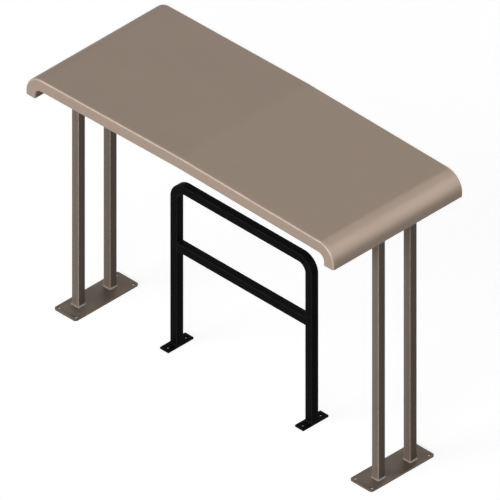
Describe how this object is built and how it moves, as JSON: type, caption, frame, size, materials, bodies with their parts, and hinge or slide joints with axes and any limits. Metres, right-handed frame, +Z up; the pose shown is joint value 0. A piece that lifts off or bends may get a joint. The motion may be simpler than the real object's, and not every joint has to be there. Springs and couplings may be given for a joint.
{
  "type": "bike shelter",
  "caption": "Small open bike shelter: a boxed canopy with rolled-down ends on square posts, over a bent-tube bike rack.",
  "frame": {"origin": "on the ground at the middle of the shelter, below the roof's ridge", "axes": "+X along the roof's length, +Y across it from front to back, +Z up"},
  "size_m": [2.04, 0.833, 1.4564],
  "materials": {
    "canopy_paint": "satin tan powder coat",
    "frame_paint": "satin bronze powder coat",
    "rack_paint": "satin black powder coat"
  },
  "bodies": {
    "root": {"roof_skin": "canopy_paint", "soffit": "canopy_paint", "front_fascia": "canopy_paint", "back_fascia": "canopy_paint", "left_lip_closer": "canopy_paint", "right_lip_closer": "canopy_paint", "left_front_post": "frame_paint", "left_back_post": "frame_paint", "right_front_post": "frame_paint", "right_back_post": "frame_paint", "left_base_plate": "frame_paint", "right_base_plate": "frame_paint", "left_front_foot_weld": "frame_paint", "left_back_foot_weld": "frame_paint", "right_front_foot_weld": "frame_paint", "right_back_foot_weld": "frame_paint", "rack_hoop": "rack_paint", "rack_crossbar": "rack_paint", "left_rack_plate": "rack_paint", "right_rack_plate": "rack_paint", "left_crossbar_weld": "rack_paint", "right_crossbar_weld": "rack_paint", "left_rack_weld": "rack_paint", "right_rack_weld": "rack_paint"}
  },
  "joints": []
}
